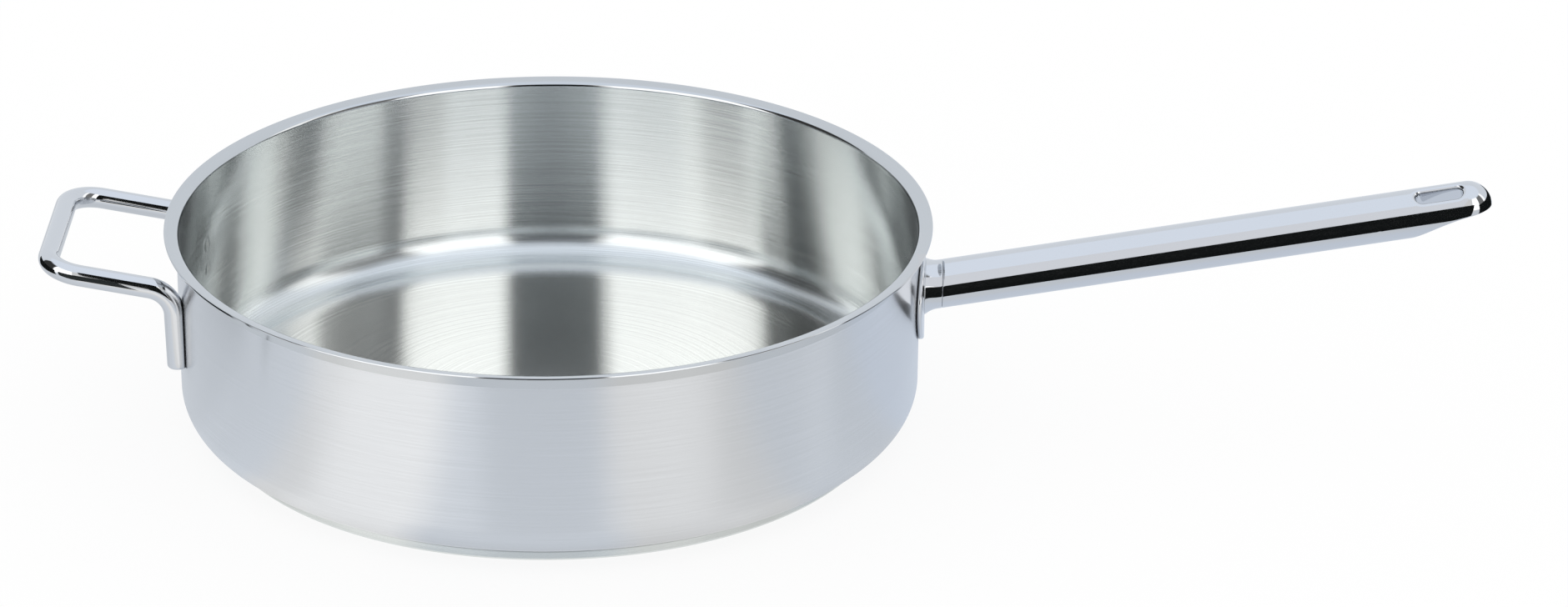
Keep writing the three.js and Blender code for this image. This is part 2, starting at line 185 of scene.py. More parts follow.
def brushed_steel(name, colour, roughness, spread, stretch_of_light,
                  line_length, line_width, line_depth, tone):
    """Steel with fine lines round the axis: noise stretched along U, as bump, as tone and in the roughness.

    The lines scatter light across themselves, so the reflections stretch from floor to rim, by the share
    given as stretch_of_light.
    """
    material, tree, shader = new_material(name, colour, roughness)
    nodes, links = tree.nodes, tree.links
    coordinates = nodes.new("ShaderNodeUVMap")
    coordinates.uv_map = "UVMap"
    stretch = nodes.new("ShaderNodeMapping")
    stretch.inputs["Scale"].default_value = (1 / (line_length * MM), 1 / (line_width * MM), 1)
    lines = nodes.new("ShaderNodeTexNoise")
    lines.inputs["Scale"].default_value = 1
    lines.inputs["Detail"].default_value = 3
    lines.inputs["Roughness"].default_value = 0.65
    links.new(coordinates.outputs["UV"], stretch.inputs["Vector"])
    links.new(stretch.outputs["Vector"], lines.inputs["Vector"])
    bump = nodes.new("ShaderNodeBump")
    bump.inputs["Strength"].default_value = 1
    bump.inputs["Distance"].default_value = line_depth * MM
    links.new(lines.outputs["Fac"], bump.inputs["Height"])
    links.new(bump.outputs["Normal"], shader.inputs["Normal"])
    shade = nodes.new("ShaderNodeMapRange")
    shade.inputs["From Min"].default_value = NOISE_LOW
    shade.inputs["From Max"].default_value = NOISE_HIGH
    shade.inputs["To Min"].default_value = 1 - tone
    shade.inputs["To Max"].default_value = 1 + tone
    links.new(lines.outputs["Fac"], shade.inputs["Value"])
    tint = nodes.new("ShaderNodeMix")
    tint.data_type = "RGBA"
    tint.blend_type = "MULTIPLY"
    tint.inputs["Factor"].default_value = 1
    tint.inputs["A"].default_value = (*colour, 1)
    links.new(shade.outputs["Result"], tint.inputs["B"])
    links.new(tint.outputs["Result"], shader.inputs["Base Color"])
    gloss = nodes.new("ShaderNodeMapRange")
    gloss.inputs["From Min"].default_value = NOISE_LOW
    gloss.inputs["From Max"].default_value = NOISE_HIGH
    gloss.inputs["To Min"].default_value = roughness * (1 - spread)
    gloss.inputs["To Max"].default_value = roughness * (1 + spread)
    links.new(lines.outputs["Fac"], gloss.inputs["Value"])
    links.new(gloss.outputs["Result"], shader.inputs["Roughness"])
    grain = nodes.new("ShaderNodeTangent")
    grain.direction_type = "UV_MAP"
    grain.uv_map = "UVMap"
    links.new(grain.outputs["Tangent"], shader.inputs["Tangent"])
    shader.inputs["Anisotropic"].default_value = stretch_of_light
    shader.inputs["Anisotropic Rotation"].default_value = QUARTER_TURN
    return material


WAVES = 60  # of the buffed surface, to a metre
HAZE = 400
HAZE_SPREAD = 0.4
# How dark the painted shade gets where a part meets the bowl's wall.
CREVICE_SHADE_TONE = 0.08


def polished_steel(name, colour, roughness, waviness, crevice_shade=None):
    """Buffed steel: a near mirror with a faint waviness in its bump and a trace of haze in its roughness.

    Painted crevice shade, if given, is two distances from the bowl's axis in millimetres: the colour darkens
    from the second in to the first, as painted shade where the parts meet the wall.
    """
    material, tree, shader = new_material(name, colour, roughness)
    nodes, links = tree.nodes, tree.links
    place = nodes.new("ShaderNodeTexCoord")
    waves = nodes.new("ShaderNodeTexNoise")
    waves.inputs["Scale"].default_value = WAVES
    waves.inputs["Detail"].default_value = 1
    links.new(place.outputs["Object"], waves.inputs["Vector"])
    bump = nodes.new("ShaderNodeBump")
    bump.inputs["Strength"].default_value = 1
    bump.inputs["Distance"].default_value = waviness * MM
    links.new(waves.outputs["Fac"], bump.inputs["Height"])
    links.new(bump.outputs["Normal"], shader.inputs["Normal"])
    haze = nodes.new("ShaderNodeTexNoise")
    haze.inputs["Scale"].default_value = HAZE
    haze.inputs["Detail"].default_value = 4
    links.new(place.outputs["Object"], haze.inputs["Vector"])
    gloss = nodes.new("ShaderNodeMapRange")
    gloss.inputs["To Min"].default_value = roughness * (1 - HAZE_SPREAD)
    gloss.inputs["To Max"].default_value = roughness * (1 + HAZE_SPREAD)
    links.new(haze.outputs["Fac"], gloss.inputs["Value"])
    links.new(gloss.outputs["Result"], shader.inputs["Roughness"])
    # Painted shade: the colour darkens close to the wall, where the parts meet it.
    if crevice_shade:
        flat = nodes.new("ShaderNodeVectorMath")
        flat.operation = "MULTIPLY"
        flat.inputs[1].default_value = (1, 1, 0)
        links.new(place.outputs["Object"], flat.inputs[0])
        away = nodes.new("ShaderNodeVectorMath")
        away.operation = "LENGTH"
        links.new(flat.outputs["Vector"], away.inputs[0])
        shade = nodes.new("ShaderNodeMapRange")
        shade.inputs["From Min"].default_value = crevice_shade[0] * MM
        shade.inputs["From Max"].default_value = crevice_shade[1] * MM
        shade.inputs["To Min"].default_value = CREVICE_SHADE_TONE
        links.new(away.outputs["Value"], shade.inputs["Value"])
        tint = nodes.new("ShaderNodeMix")
        tint.data_type = "RGBA"
        tint.blend_type = "MULTIPLY"
        tint.inputs["Factor"].default_value = 1
        tint.inputs["A"].default_value = (*colour, 1)
        links.new(shade.outputs["Result"], tint.inputs["B"])
        links.new(tint.outputs["Result"], shader.inputs["Base Color"])
    return material


satin_outside = brushed_steel(
    "satin_outside", (0.77, 0.785, 0.81), roughness=0.25, spread=0.06, stretch_of_light=0.92,
    line_length=60, line_width=0.7, line_depth=0.00012, tone=0.035)
brushed_wall = brushed_steel(
    "brushed_wall", (0.80, 0.825, 0.825), roughness=0.21, spread=0.15, stretch_of_light=1,
    line_length=90, line_width=0.5, line_depth=0.0003, tone=0.14)
WHOLE_CIRCLE = 100000  # a line so long that it closes into a circle
brushed_floor = brushed_steel(
    "brushed_floor", (0.83, 0.83, 0.81), roughness=0.12, spread=0.15, stretch_of_light=0.9,
    line_length=WHOLE_CIRCLE, line_width=1.2, line_depth=0.0002, tone=0.15)
polished_lip = polished_steel("polished_lip", (0.66, 0.675, 0.69), roughness=0.10, waviness=0.0005)

stretches = bowl_section()
section = np.concatenate(stretches)
finish = np.repeat(np.arange(len(stretches)), [len(stretch) for stretch in stretches])
weld_turn = np.arcsin(WELD_SIDE / WALL_RADIUS)
weld_angles = np.pi + np.array([-weld_turn, weld_turn])
even = np.linspace(0, 2 * np.pi, BOWL_COLUMNS, endpoint=False)
near_weld = np.radians(np.linspace(-WELD_SPREAD, WELD_SPREAD, WELD_COLUMNS))
close = (weld_angles[:, None] + near_weld).reshape(-1)
bowl_angles = np.unique(np.concatenate([even, close]))
bowl_points = turned(section, bowl_angles)

# Each weld leaves a shallow mark in the inner wall: pushed out in the middle, with a raised ring round it.
push = np.zeros(bowl_points.shape[:2])
for weld_angle in weld_angles:
    for weld_height in WELD_HEIGHTS:
        aside = (bowl_angles[None, :] - weld_angle) * BOWL_RADIUS
        away = np.hypot(aside, section[:, 1, None] - weld_height) / WELD_RADIUS
        ring = WELD_RING_RISE * np.exp(-((away - WELD_RING) / WELD_RING_WIDTH) ** 2)
        push += WELD_DEPTH * (np.exp(-away ** 2) - ring)
on_wall = np.isclose(section[:, 0], BOWL_RADIUS, rtol=0, atol=0.01)[:, None]
bowl_points[..., :2] *= (1 + np.where(on_wall, push, 0) / BOWL_RADIUS)[..., None]

turn_u = np.append(bowl_angles, bowl_angles[0] + 2 * np.pi) * BOWL_RADIUS
bowl = grid_piece("bowl", bowl_points, turn_u, length_along(bowl_points),
                  [satin_outside, polished_lip, brushed_wall, brushed_floor], finish[1:])
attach(bowl, "root")
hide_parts("pan_bowl")

# Base. An aluminium disc brazed between the bowl's floor and a shallow cup of magnetic steel, which shows as
# the band at the foot. The disc and the braze are sealed in, so they keep their plain solids.
CAPSULE_RADIUS = 128.3
CAPSULE_BRIM = 5.0
CAPSULE_SHEET = 1.4
CAPSULE_EDGE = 1.2
BRIM_EDGE = 0.35
SEAM_FROM = 3.2  # painted shade: the side darkens from this height up to the next, under the bowl's overhang
SEAM_FULL = 4.1
SEAM_SHADE_TONE = 0.35


def capsule_section():
    """The cup's outline as (radius, height): flat underside, rounded foot, side, rounded brim, inside."""
    inner = CAPSULE_RADIUS - CAPSULE_SHEET
    return np.concatenate([
        [(0.0, 0.0)],
        run((0.0, 0.0), (CAPSULE_RADIUS - CAPSULE_EDGE, 0.0), steps=30),
        arc((CAPSULE_RADIUS - CAPSULE_EDGE, CAPSULE_EDGE), CAPSULE_EDGE, -90, 0, steps=12),
        run((CAPSULE_RADIUS, CAPSULE_EDGE), (CAPSULE_RADIUS, CAPSULE_BRIM - BRIM_EDGE), steps=4),
        arc((CAPSULE_RADIUS - BRIM_EDGE, CAPSULE_BRIM - BRIM_EDGE), BRIM_EDGE, 0, 90, steps=5),
        [(inner, CAPSULE_BRIM), (inner, CAPSULE_SHEET), (0.0, CAPSULE_SHEET)],
    ])


base_satin = brushed_steel(
    "base_satin", (0.75, 0.78, 0.775), roughness=0.26, spread=0.15, stretch_of_light=0.9,
    line_length=50, line_width=0.5, line_depth=0.002, tone=0.03)

# Painted shade at the seam under the bowl's overhang: the satin's tone falls to a dark line by height.
seam_nodes, seam_links = base_satin.node_tree.nodes, base_satin.node_tree.links
seam_place = seam_nodes.new("ShaderNodeTexCoord")
seam_split = seam_nodes.new("ShaderNodeSeparateXYZ")
seam_links.new(seam_place.outputs["Object"], seam_split.inputs["Vector"])
seam_shade = seam_nodes.new("ShaderNodeMapRange")
seam_shade.inputs["From Min"].default_value = SEAM_FROM * MM
seam_shade.inputs["From Max"].default_value = SEAM_FULL * MM
seam_shade.inputs["To Min"].default_value = 1
seam_shade.inputs["To Max"].default_value = SEAM_SHADE_TONE
seam_links.new(seam_split.outputs["Z"], seam_shade.inputs["Value"])
# This tint carries the painted shade into the capsule's colour.
seam_shade_tint = seam_nodes.new("ShaderNodeMix")
seam_shade_tint.data_type = "RGBA"
seam_shade_tint.blend_type = "MULTIPLY"
seam_shade_tint.inputs["Factor"].default_value = 1
base_colour = seam_nodes["Principled BSDF"].inputs["Base Color"]
seam_links.new(base_colour.links[0].from_socket, seam_shade_tint.inputs["A"])
seam_links.new(seam_shade.outputs["Result"], seam_shade_tint.inputs["B"])
seam_links.new(seam_shade_tint.outputs["Result"], base_colour)

capsule_points = turned(capsule_section(), even)
even_u = np.append(even, 2 * np.pi) * BOWL_RADIUS
capsule = grid_piece("capsule", capsule_points, even_u, length_along(capsule_points), [base_satin])
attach(capsule, "root")
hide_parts("base_capsule")

core_aluminium = polished_steel("core_aluminium", (0.82, 0.82, 0.83), roughness=0.4, waviness=0.001)
braze_alloy = polished_steel("braze_alloy", (0.62, 0.63, 0.64), roughness=0.5, waviness=0.001)
sealed_in = {"base_core": core_aluminium, "base_upper_braze": braze_alloy, "base_lower_braze": braze_alloy}
for node, metal in sealed_in.items():
    bpy.data.objects[node].data.materials.clear()
    bpy.data.objects[node].data.materials.append(metal)

# Flange. An oval plate stamped from sheet, rolled to the wall's radius, polished, and spot-welded to the
# wall's outer face. It carries the long handle.
HANDLE_TILT = 10.0  # degrees above the horizontal
HANDLE_DROP = 26.9  # of its axis at the wall's outer face, below the rim
HANDLE_HEIGHT = BOWL_HEIGHT - HANDLE_DROP
FLANGE_WIDTH = 42.0
FLANGE_HEIGHT = 36.0
FLANGE_THICKNESS = 1.8
FLANGE_EDGE = 0.9
FLANGE_DROP = 1.5  # of its middle, below the handle's axis
FLANGE_CENTRE = HANDLE_HEIGHT - FLANGE_DROP
FLANGE_GAP = 0.3
FLANGE_ROUND = 120.0  # length round its edge
FLANGE_COLUMNS = 160
CREVICE_SHADE_DEPTH = 0.3  # painted shade, from the wall: darkest here, and bright from the next on
CREVICE_SHADE_MOUTH = 0.9


def flange_points():
    """The plate as ovals on the wall's cylinder: each row is an oval of its own size at its own radius.

    A row's oval is (width/2 - s) cos a round the wall by (height/2 - s) sin a up it. The shrink s runs from
    the middle of the back out to the edge, over the rounded edge and in again to the middle of the front.
    """
    back = WALL_RADIUS + FLANGE_GAP
    front = back + FLANGE_THICKNESS
    round_edge = arc((FLANGE_EDGE, front - FLANGE_EDGE), FLANGE_EDGE, 180, 90, steps=10)
    rows = np.concatenate([
        run((FLANGE_HEIGHT / 2, back), (0.0, back), steps=12),
        [(0.0, back)],
        round_edge,
        run((FLANGE_EDGE, front), (FLANGE_HEIGHT / 2, front), steps=12),
    ])
    angle = np.linspace(0, 2 * np.pi, FLANGE_COLUMNS, endpoint=False)
    shrink, radius = rows[:, 0, None], rows[:, 1, None]
    aside = (FLANGE_WIDTH / 2 - shrink) * np.cos(angle) / back
    height = FLANGE_CENTRE + (FLANGE_HEIGHT / 2 - shrink) * np.sin(angle)
    return np.stack([radius * np.cos(aside), radius * np.sin(aside), height], axis=2)


def capped(points):
    """A grid with one more row at each end, every point of it in the middle of the end row."""
    first = np.broadcast_to(points[0].mean(axis=0), points[0].shape)
    last = np.broadcast_to(points[-1].mean(axis=0), points[-1].shape)
    return np.concatenate([first[None], points, last[None]])


# The handles' polished steel, with painted shade darkening it where it meets the wall.
polished_handle = polished_steel(
    "polished_handle", (0.74, 0.75, 0.77), roughness=0.06, waviness=0.0006,
    crevice_shade=(WALL_RADIUS + CREVICE_SHADE_DEPTH, WALL_RADIUS + CREVICE_SHADE_MOUTH))
flange_grid = capped(flange_points())
flange_u = np.linspace(0, FLANGE_ROUND, FLANGE_COLUMNS + 1)
flange = grid_piece("flange", flange_grid, flange_u, length_along(flange_grid), [polished_handle])
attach(flange, "root")
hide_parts("handle_flange")

# Neck. A short collar, turned from bar and welded to the flange. It flares towards the wall, has a slight
# waist and meets the tube at an upright seam.
TUBE_RADIUS = 9.2
NECK_FLARE = 1.5
NECK_FADE = 2.2  # power by which the flare fades
NECK_WAIST = 0.12
NECK_SEAM = 8.4  # from the wall's outer face
SEAM_GROOVE = 0.22
GROOVE_IN = np.array([0.15, 0.5, 1.0, 6.0])[:, None]  # rows that turn in at the seam, times the groove
GROOVE_ALONG = np.array([0.3, 0.45, 0.5, 0.5])[:, None]
NECK_ROWS = 25
NECK_COLUMNS = 128
axis_along = np.array([np.cos(np.radians(HANDLE_TILT)), 0.0, np.sin(np.radians(HANDLE_TILT))])
axis_up = np.array([-axis_along[2], 0.0, axis_along[0]])
axis_start = np.array([WALL_RADIUS, 0.0, HANDLE_HEIGHT])


def on_handle(along, aside, above):
    """Points from the handle's own frame: start + along * axis + aside * (0, -1, 0) + above * up."""
    along, aside, above = np.broadcast_arrays(along, aside, above)
    return (axis_start + along[..., None] * axis_along + aside[..., None] * np.array([0.0, -1.0, 0.0])
            + above[..., None] * axis_up)


def along_at_seam(radius, angle, reach):
    """How far along the axis a line at that radius and angle meets the upright plane at that reach."""
    return (reach + radius * np.cos(angle) * axis_along[2]) / axis_along[0]


def along_at_flange(radius, angle):
    """How far along the axis a line at that radius and angle meets the flange's front cylinder."""
    face = WALL_RADIUS + FLANGE_GAP + FLANGE_THICKNESS
    reach = np.sqrt(face ** 2 - (radius * np.sin(angle)) ** 2) - WALL_RADIUS
    return along_at_seam(radius, angle, reach)


def neck_points():
    """The collar as circles about the handle's axis, from the flange's face to the seam.

    Its radius is the tube's, plus a flare that fades with a power of the distance, less a waist half way.
    The last rows turn in to the groove at the seam.
    """
    angle = np.linspace(0, 2 * np.pi, NECK_COLUMNS, endpoint=False)[None, :]
    share = np.linspace(0, 1, NECK_ROWS)[:, None]
    radius = TUBE_RADIUS + NECK_FLARE * (1 - share) ** NECK_FADE - NECK_WAIST * np.sin(np.pi * share) ** 2
    start = along_at_flange(radius[:1], angle)
    end = along_at_seam(TUBE_RADIUS, angle, NECK_SEAM)
    wall_side = on_handle(start + (end - start) * share, radius * np.sin(angle), radius * np.cos(angle))
    turn_in = TUBE_RADIUS - SEAM_GROOVE * GROOVE_IN
    past = SEAM_GROOVE * GROOVE_ALONG
    groove = on_handle(end + past, turn_in * np.sin(angle), turn_in * np.cos(angle))
    return capped(np.concatenate([wall_side, groove]))


neck_grid = neck_points()
neck_u = np.linspace(0, 2 * np.pi * TUBE_RADIUS, NECK_COLUMNS + 1)
neck = grid_piece("neck", neck_grid, neck_u, length_along(neck_grid), [polished_handle])
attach(neck, "root")
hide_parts("handle_neck")

# Tube and tip. A drawn tube with a solid end welded in and ground flush, so that both are one bright surface.
# The end has a round nose, an underside scooped away to half its depth, and an obround eye to hang by.
HANDLE_LENGTH = 219.2
TIP_START = 173.2  # along the axis, where the solid end begins
EYE_LENGTH = 17.8
EYE_WIDTH = 5.4
EYE_INSET = 10.7  # metal between the eye and the nose
EYE_LEAN = 25.0  # degrees to the side, off the handle's upright plane
EYE_EDGE = 2.0  # rounding of its rim
SCOOP_LENGTH = 32.0
SCOOP_EASE = 17.0  # from the nose to the middle control point of the scoop's curve
NOSE_DROP = 0.3  # of the scoop below the axis, at the nose
SCOOP_EDGE = 0.8  # rounding between the scoop and the round section
TUBE_END = 0.3  # gap between neck and tube
TIP_ROUND = 60.0  # length round the eye
EYE_COLUMNS = 240
EYE_CROWDING = 0.4  # how much the columns crowd towards the eye's ends
EDGE_ROWS = 9
SKIN_ROWS = 37
SKIN_CROWDING = 1.2  # power by which the rows crowd towards the eye
EYE_WALL_ROWS = 10
BARREL_ROWS = 30
BARREL_START = (0.0, 0.005)  # shares of the barrel's first rows, close to the seam
BARREL_REST = 0.02
ON_BORDER = 1e-6  # millimetres within which a column ends where the tube does
WELD_MERGE = 2e-6  # metres between corners of tube and tip that count as one


def section_radius(along):
    """Radius of the round section: the tube's, and a quarter circle over the nose."""
    past = np.clip(along - (HANDLE_LENGTH - TUBE_RADIUS), 0, TUBE_RADIUS)
    return np.sqrt(np.maximum(TUBE_RADIUS ** 2 - past ** 2, 0))


def scoop_height(along):
    """Height of the scooped underside about the axis: a parabola from the tube's underside to the level nose.

    It is the curve (1-t)^2 P + 2t(1-t) Q + t^2 R, solved for t at a distance d from the tip.
    """
    back, ease = SCOOP_LENGTH, SCOOP_EASE
    away = np.clip(HANDLE_LENGTH - along, 0, back)
    a, b = back - 2 * ease, 2 * ease
    t = np.where(abs(a) > 1e-9, (-b + np.sqrt(b * b + 4 * a * away)) / (2 * a), away / b)
    return -NOSE_DROP - (TUBE_RADIUS - NOSE_DROP) * t ** 2


def top_height(along, aside):
    """Height of the upper surface: the round section's."""
    return np.sqrt(np.maximum(section_radius(along) ** 2 - aside ** 2, 0))


def bottom_height(along, aside):
    """Height of the lower surface: the higher of the round section and the scoop, blended at the edge."""
    low = -top_height(along, aside)
    out_of_reach = -TUBE_RADIUS - 3 * SCOOP_EDGE
    scoop = np.where(along > HANDLE_LENGTH - SCOOP_LENGTH, scoop_height(along), out_of_reach)
    mix = np.clip(0.5 + 0.5 * (scoop - low) / SCOOP_EDGE, 0, 1)
    return np.minimum(low * (1 - mix) + scoop * mix + SCOOP_EDGE * mix * (1 - mix), 0)


def eye_outline(turn, grow):
    """The eye's outline, grown by a distance: two half circles and straight sides, by angle from its middle.

    A ray at the angle meets the straight side first where its slope is steep enough, and otherwise a half
    circle.
    """
    half = EYE_WIDTH / 2 + grow
    straight = (EYE_LENGTH - EYE_WIDTH) / 2
    c, s = np.cos(turn), np.sin(turn)
    side = half / np.maximum(np.abs(s), 1e-9)
    on_side = side * np.abs(c) <= straight
    bow = straight * np.abs(c) + np.sqrt(np.maximum(half ** 2 - (straight * s) ** 2, 0))
    reach = np.where(on_side, side, bow)
    return reach * c, reach * s


def tip_points():
    """The tip as a ring round its eye, with columns round the eye and rows through it.

    Rows run from the upper surface over the eye's edge, down its wall, over its lower edge and out along the
    underside. On the surfaces a point is (along, lean), with aside = radius * sin(lean). The eye is a slot
    about an axis that leans, so its upper outline is at lean = EYE_LEAN + asin(w / radius) for a distance w
    from the axis, and its lower one at aside = height * tan(EYE_LEAN) + w / cos(EYE_LEAN). A row lies
    between that outline and the border of the rectangle that the surface unrolls to.
    """
    eye_middle = HANDLE_LENGTH - EYE_INSET - EYE_LENGTH / 2
    eye_lean = np.radians(EYE_LEAN)
    turn = np.linspace(0, 2 * np.pi, EYE_COLUMNS, endpoint=False)
    turn = turn - EYE_CROWDING * np.sin(2 * turn) / 2
    turn = np.unique(np.concatenate([turn, np.pi / 4 + np.pi / 2 * np.arange(4)]))
    back, ahead = eye_middle - TIP_START, HANDLE_LENGTH - eye_middle
    c, s = np.cos(turn), np.sin(turn)
    along_reach = np.where(c > 0, ahead, back)
    square = 1 / np.maximum(np.abs(c), np.abs(s))
    border_along = eye_middle + along_reach * c * square
    border_lean = np.pi / 2 * s * square
    edge_turn = np.linspace(0, np.pi / 2, EDGE_ROWS)[:, None]
    x, w = eye_outline(turn[None, :], EYE_EDGE * (1 - np.cos(edge_turn)))
    drop = EYE_EDGE * (1 - np.sin(edge_turn))
    along = eye_middle + x

    def surface(aside, above, height, sink):
        """Rows of one surface: over the eye's rounded edge, then from its outline to the border."""
        edge = on_handle(along, aside - sink * np.sin(eye_lean), above - sink * np.cos(eye_lean))
        lean = np.arcsin(np.clip(aside[-1] / section_radius(along[-1]), -1, 1))
        share = np.linspace(0, 1, SKIN_ROWS)[1:, None] ** SKIN_CROWDING
        row_along = along[-1] * (1 - share) + border_along * share
        row_aside = section_radius(row_along) * np.sin(lean * (1 - share) + border_lean * share)
        return np.concatenate([edge, on_handle(row_along, row_aside, height(row_along, row_aside))])

    radius = section_radius(along)
    leaning = eye_lean + np.arcsin(w / radius)
    upper = surface(radius * np.sin(leaning), radius * np.cos(leaning), top_height, drop)
    scooped = scoop_height(along)
    lower = surface(scooped * np.tan(eye_lean) + w / np.cos(eye_lean), scooped, bottom_height, -drop)
    share = np.linspace(0, 1, EYE_WALL_ROWS)[1:-1, None, None]
    wall = upper[0] * (1 - share) + lower[0] * share
    return np.concatenate([upper[::-1], wall, lower]), border_along, border_lean


def tube_points(leans):
    """The tube as rings about the axis, from the groove at the seam to where the tip's surface begins."""
    angle = leans[None, :]
    start = along_at_seam(TUBE_RADIUS, angle, NECK_SEAM + TUBE_END)
    inward = TUBE_RADIUS - SEAM_GROOVE * GROOVE_IN[::-1]
    before = -SEAM_GROOVE * GROOVE_ALONG[::-1]
    groove = on_handle(start + before, inward * np.sin(angle), inward * np.cos(angle))
    share = np.concatenate([BARREL_START, np.linspace(BARREL_REST, 1, BARREL_ROWS)])[:, None]
    along = start * (1 - share) + TIP_START * share
    barrel = on_handle(along, TUBE_RADIUS * np.sin(angle), TUBE_RADIUS * np.cos(angle))
    rings = np.concatenate([groove, barrel])
    plug = np.broadcast_to(rings[0].mean(axis=0), rings[0].shape)
    return np.concatenate([plug[None], rings])


tip_grid, border_along, border_lean = tip_points()
tip_u = np.linspace(0, TIP_ROUND, tip_grid.shape[1] + 1)
tip_piece = grid_piece("tip_skin", tip_grid, tip_u, length_along(tip_grid), [polished_handle])
joint_leans = np.sort(border_lean[border_along < TIP_START + ON_BORDER])
ring_leans = np.concatenate([joint_leans, np.pi - joint_leans[-2:0:-1]])
tube_grid = tube_points(ring_leans)
tube_u = np.append(ring_leans, ring_leans[0] + 2 * np.pi) * TUBE_RADIUS
handle_grip = grid_piece("handle_grip", tube_grid, tube_u, length_along(tube_grid), [polished_handle])
weld = bmesh.new()
weld.from_mesh(handle_grip.data)
weld.from_mesh(tip_piece.data)
bmesh.ops.remove_doubles(weld, verts=weld.verts, dist=WELD_MERGE)
bmesh.ops.recalc_face_normals(weld, faces=weld.faces)
weld.to_mesh(handle_grip.data)
weld.free()
bpy.data.objects.remove(tip_piece)
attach(handle_grip, "root")
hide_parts("handle_tube", "handle_tip")

# Helper handle. A round rod bent into a loop, climbing outwards. Both legs turn down, are pressed flat where
# they meet the wall and are spot-welded there.
ROD_RADIUS = 4.0
HELPER_SIDE = WELD_SIDE  # the legs stand where they are welded
HELPER_REACH = 46.0  # of the grip's middle line, from the wall
HELPER_GRIP = WALL_RADIUS + HELPER_REACH
HELPER_DROP = 15.8  # of the arms at the wall, below the rim
HELPER_HEIGHT = BOWL_HEIGHT - HELPER_DROP
HELPER_TILT = 10.0  # degrees
HELPER_CORNER = 13.0
LEG_BEND = 11.0
LEG_LENGTH = 29.5
LEG_FLAT = 1.2
LEG_TAPER = 0.7
LEG_GAP = 0.3
LEG_DOME = 1.6
LEG_TIP = 0.02  # least share of the rod's section, at the end of the dome
BEND_ROWS = 25
RUN_ROWS = 12
DOME_ROWS = 9
ROD_COLUMNS = 64


def helper_corners():
    """Corners of the rod's middle line, foot to foot: leg, arm, grip, arm, leg."""
    leg_radius = WALL_RADIUS + LEG_GAP + ROD_RADIUS - LEG_FLAT
    leg = -np.sqrt(leg_radius ** 2 - HELPER_SIDE ** 2)
    slope = np.tan(np.radians(HELPER_TILT))
    leg_top = HELPER_HEIGHT + slope * (-WALL_RADIUS - leg)
    grip_height = HELPER_HEIGHT + slope * (HELPER_GRIP - WALL_RADIUS)
    half = np.array([
        (leg + LEG_TAPER, HELPER_SIDE, leg_top - LEG_LENGTH),
        (leg, HELPER_SIDE, leg_top),
        (-HELPER_GRIP, HELPER_SIDE, grip_height),
    ])
    return np.concatenate([half, (half * (1, -1, 1))[::-1]])


def rounded_line(corners, radii):
    """A line of straight runs with arcs at its corners, as points and unit directions.

    At a corner the direction turns from d to e about their common normal, and n is the part of e across d:
    point = start + r (sin a d + (1 - cos a) n).
    """
    points, ways = [corners[:1]], []
    for before, corner, after, radius in zip(corners[:-2], corners[1:-1], corners[2:], radii):
        d = (corner - before) / np.linalg.norm(corner - before)
        e = (after - corner) / np.linalg.norm(after - corner)
        sweep = np.arccos(d @ e)
        n = (e - np.cos(sweep) * d) / np.sin(sweep)
        a = np.linspace(0, sweep, BEND_ROWS)[:, None]
        start = corner - d * radius * np.tan(sweep / 2)
        if not ways:
            ways.append(d[None])
        straight = run(points[-1][-1], start, RUN_ROWS)
        points += [straight, start + radius * (np.sin(a) * d + (1 - np.cos(a)) * n)]
        ways += [np.broadcast_to(d, straight.shape), np.cos(a) * d + np.sin(a) * n]
    straight = run(points[-1][-1], corners[-1], RUN_ROWS)
    points += [straight, corners[-1:]]
    ways += [np.broadcast_to(ways[-1][-1], straight.shape), ways[-1][-1:]]
    return np.concatenate(points), np.concatenate(ways)


def helper_points():
    """The rod as circles across its line, domed over at both feet, and pushed clear of the wall's face.

    A circle is line + size (cos a across + sin a other), with across and other square to the line.
    """
    line, way = rounded_line(helper_corners(), (LEG_BEND, HELPER_CORNER, HELPER_CORNER, LEG_BEND))
    dome = np.linspace(0, np.pi / 2, DOME_ROWS)[1:]
    line = np.concatenate([
        (line[0] - way[0] * LEG_DOME * np.sin(dome)[:, None])[::-1], line,
        line[-1] + way[-1] * LEG_DOME * np.sin(dome)[:, None],
    ])
    size = np.concatenate([np.cos(dome)[::-1], np.ones(len(way)), np.cos(dome)])
    size = np.sqrt(np.maximum(size, LEG_TIP)) * ROD_RADIUS
    way = np.concatenate([np.repeat(way[:1], len(dome), axis=0), way, np.repeat(way[-1:], len(dome), axis=0)])
    reference = np.array([1.0, 1.0, 1.0])
    across = reference - way * (way @ reference)[:, None]
    across /= np.linalg.norm(across, axis=1)[:, None]
    other = np.cross(way, across)
    angle = np.linspace(0, 2 * np.pi, ROD_COLUMNS, endpoint=False)
    points = line[:, None] + size[:, None, None] * (
        np.cos(angle)[None, :, None] * across[:, None] + np.sin(angle)[None, :, None] * other[:, None])
    reach = np.linalg.norm(points[..., :2], axis=2)
    points[..., :2] *= np.maximum(1, (WALL_RADIUS + LEG_GAP / 3) / reach)[..., None]
    return capped(points)


helper_grid = helper_points()
helper_u = np.linspace(0, 2 * np.pi * ROD_RADIUS, ROD_COLUMNS + 1)
helper = grid_piece("helper_loop", helper_grid, helper_u, length_along(helper_grid), [polished_handle])
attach(helper, "root")
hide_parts("helper_handle")

# Studio. A pale floor, and cards round the pan: dark flags that draw the dark lines in the polished steel,
# and a grey one that keeps the tube's upper side even. The cards show only in reflections.
FLOOR_SIZE = 8000.0
FLOOR_GREY = 0.9
FLOOR_SHADOW = 0.14  # how much of the floor's own shading shows
FLOOR_GLOW = 1.016  # with that shading it comes to white


